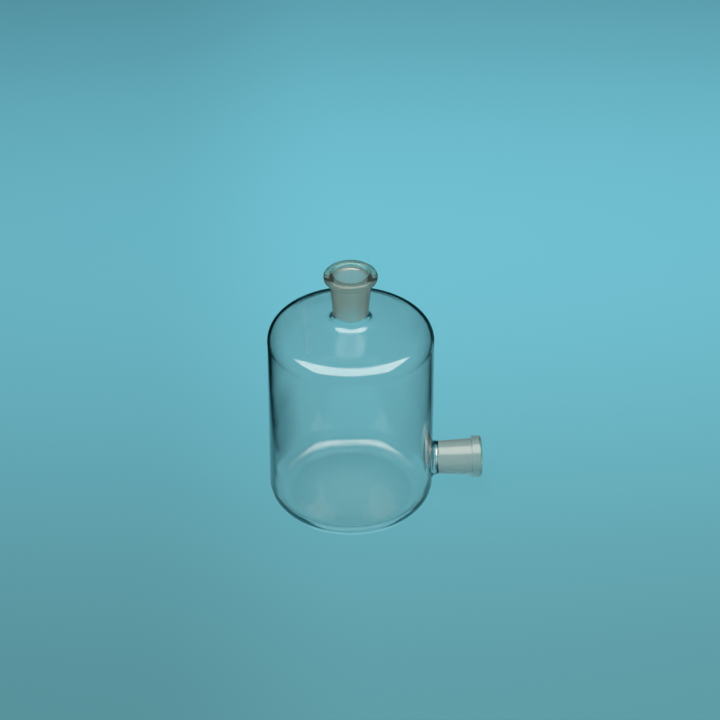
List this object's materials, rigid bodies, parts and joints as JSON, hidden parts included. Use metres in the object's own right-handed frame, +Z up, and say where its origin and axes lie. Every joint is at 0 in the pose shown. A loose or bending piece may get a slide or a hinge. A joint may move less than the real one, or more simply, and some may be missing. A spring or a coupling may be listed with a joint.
{
  "type": "aspirator flask",
  "caption": "Flat-bottomed cylindrical glass bottle with a thick-lipped, ground tapered socket for its neck and a ground side socket low on the wall for a tap or tube.",
  "frame": {"origin": "middle of the ring that the flask stands on, in the standing plane", "axes": "+Z up along the body and the neck, +X along the side socket, towards its mouth"},
  "size_m": [0.1881, 0.1446, 0.2303],
  "materials": {
    "clear_glass": "clear, fire-polished",
    "ground_glass": "fire-polished outside, fine ground inside the cone"
  },
  "bodies": {
    "root": {"bottle_body": "clear_glass", "neck_socket": "ground_glass", "side_socket": "ground_glass"}
  },
  "joints": []
}
